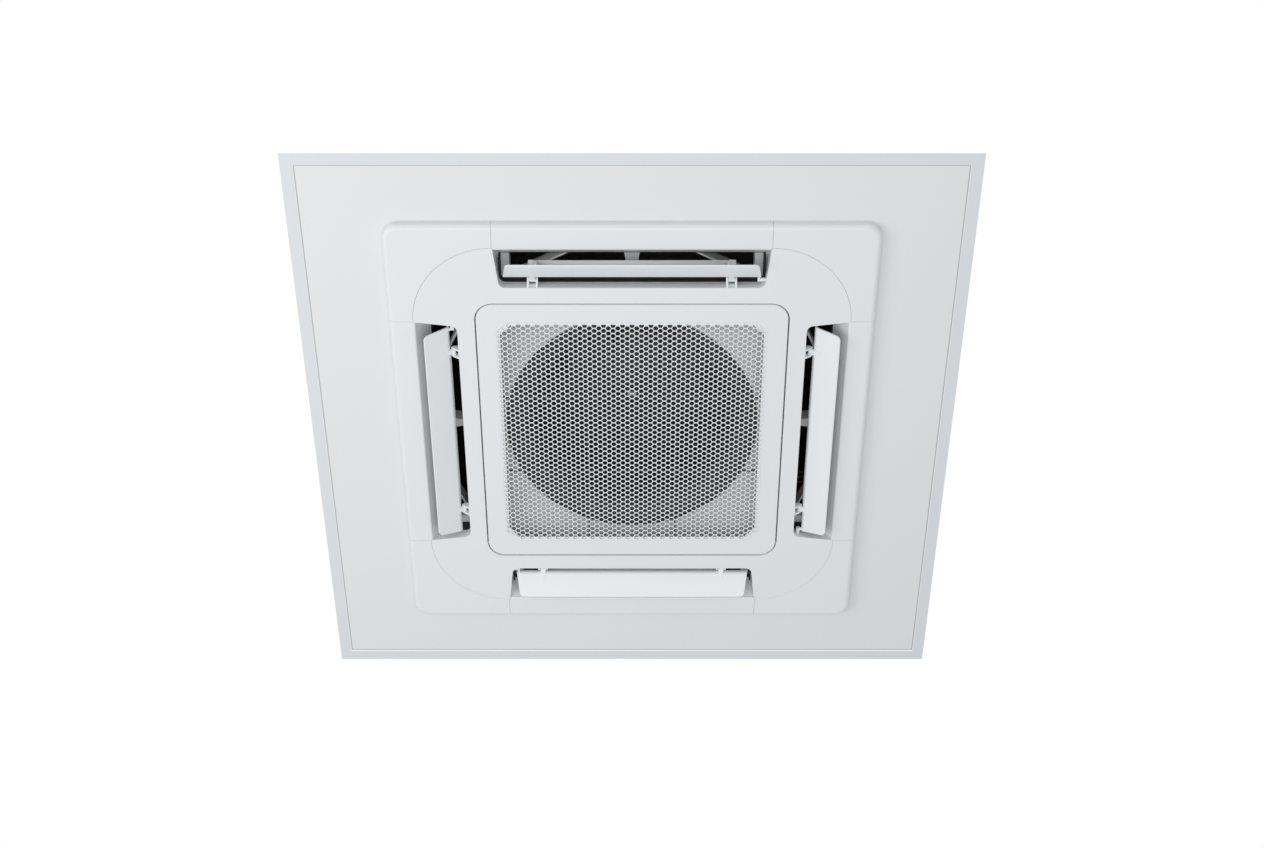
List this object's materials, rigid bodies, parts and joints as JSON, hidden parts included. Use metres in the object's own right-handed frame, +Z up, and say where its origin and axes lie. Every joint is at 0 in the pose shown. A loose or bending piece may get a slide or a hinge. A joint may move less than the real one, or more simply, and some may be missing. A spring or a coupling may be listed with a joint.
{
  "type": "ceiling cassette air conditioner",
  "caption": "Square ceiling cassette air conditioner: a decoration panel with swing flaps on each side round a hinged perforated suction grille, under a cased fan coil unit.",
  "frame": {"origin": "middle of the four hanger bolts, on the top face of the hanger brackets", "axes": "+Z up along the bolts, -Y towards the latch side of the grille, +X towards the pipes"},
  "size_m": [0.95, 0.95, 0.3286],
  "materials": {
    "panel_white": "satin moulded plastic",
    "flap_white": "satin moulded plastic",
    "clip_white": "satin moulded plastic",
    "grille_white": "satin moulded plastic",
    "sheet_white": "satin moulded plastic",
    "latch_grey": "matte",
    "filter_grey": "matte",
    "net_dark": "woven net",
    "foam_black": "foam",
    "foam_grey": "foam board",
    "pan_grey": "moulded foam with a plastic skin",
    "bell_black": "matte",
    "fan_grey": "matte",
    "fin_aluminium": "finned",
    "copper": "drawn copper",
    "brass": "turned brass",
    "galvanised": "spangled zinc",
    "zinc": "zinc plated",
    "shaft_steel": "ground",
    "motor_grey": "painted",
    "rubber_black": "matte",
    "pump_white": "matte",
    "float_black": "matte"
  },
  "bodies": {
    "unit": {"bell_mouth": "bell_black", "casing": "galvanised", "casing_screws": "zinc", "coil_end_plates": "galvanised", "coil_fins": "fin_aluminium", "coil_tubes": "copper", "control_box": "galvanised", "control_cover": "galvanised", "corner_cover_back_left": "panel_white", "corner_cover_back_right": "panel_white", "corner_cover_front_left": "panel_white", "corner_cover_front_right": "panel_white", "drain_pan": "pan_grey", "drain_pump": "pump_white", "drain_socket": "pump_white", "fan_motor": "motor_grey", "flap_clips": "clip_white", "flare_unions": "brass", "float_switch": "pump_white", "gas_pipe": "copper", "hanger_brackets": "galvanised", "inlet_frame": "panel_white", "insulation_liner": "foam_grey", "liquid_pipe": "copper", "motor_mounts": "rubber_black", "outlet_liner_back": "foam_black", "outlet_liner_front": "foam_black", "outlet_liner_left": "foam_black", "outlet_liner_right": "foam_black", "outlet_ribs": "pan_grey", "outlet_trim_back": "panel_white", "outlet_trim_front": "panel_white", "outlet_trim_left": "panel_white", "outlet_trim_right": "panel_white", "panel_brackets": "galvanised", "panel_frame": "panel_white", "panel_screws": "zinc", "panel_seals": "foam_black", "panel_spacers": "zinc", "pipe_plate": "galvanised", "swing_motors": "motor_grey", "top_plate": "galvanised"},
    "fan_rotor": {"fan_hub": "fan_grey", "fan_blades": "fan_grey", "fan_ring": "fan_grey", "motor_shaft": "shaft_steel", "fan_nut": "zinc"},
    "grille": {"grille_frame": "grille_white", "perforated_sheet": "sheet_white", "filter_frame": "filter_grey", "filter_net": "net_dark"},
    "latch_left": {"grille_latch_left": "latch_grey"},
    "latch_right": {"grille_latch_right": "latch_grey"},
    "level_float": {"level_float": "float_black"},
    "flap_front": {"flap_front": "flap_white"},
    "flap_right": {"flap_right": "flap_white"},
    "flap_back": {"flap_back": "flap_white"},
    "flap_left": {"flap_left": "flap_white"}
  },
  "joints": [
    {"name": "fan_spin", "type": "hinge", "parent": "unit", "child": "fan_rotor", "pos_m": [0, 0, 0], "axis": [0, 0, 1], "continuous": true},
    {"name": "flap_front_swing", "type": "hinge", "parent": "unit", "child": "flap_front", "pos_m": [0, -0.353, -0.151], "axis": [1, 0, 0], "range_deg": [-23, 37]},
    {"name": "flap_right_swing", "type": "hinge", "parent": "unit", "child": "flap_right", "pos_m": [0.353, 0, -0.151], "axis": [0, 1, 0], "range_deg": [-16, 44]},
    {"name": "flap_back_swing", "type": "hinge", "parent": "unit", "child": "flap_back", "pos_m": [0, 0.353, -0.151], "axis": [-1, 0, 0], "range_deg": [-19, 41]},
    {"name": "flap_left_swing", "type": "hinge", "parent": "unit", "child": "flap_left", "pos_m": [-0.353, 0, -0.151], "axis": [0, -1, 0], "range_deg": [-16, 44]},
    {"name": "grille_hinge", "type": "hinge", "parent": "unit", "child": "grille", "pos_m": [0, 0.277, -0.158], "axis": [1, 0, 0], "range_deg": [0, 90]},
    {"name": "latch_left_slide", "type": "slide", "parent": "grille", "child": "latch_left", "axis": [0, -1, 0], "range_m": [0, 0.006]},
    {"name": "latch_right_slide", "type": "slide", "parent": "grille", "child": "latch_right", "axis": [0, -1, 0], "range_m": [0, 0.006]},
    {"name": "float_rise", "type": "slide", "parent": "unit", "child": "level_float", "axis": [0, 0, 1], "range_m": [0, 0.012]}
  ]
}
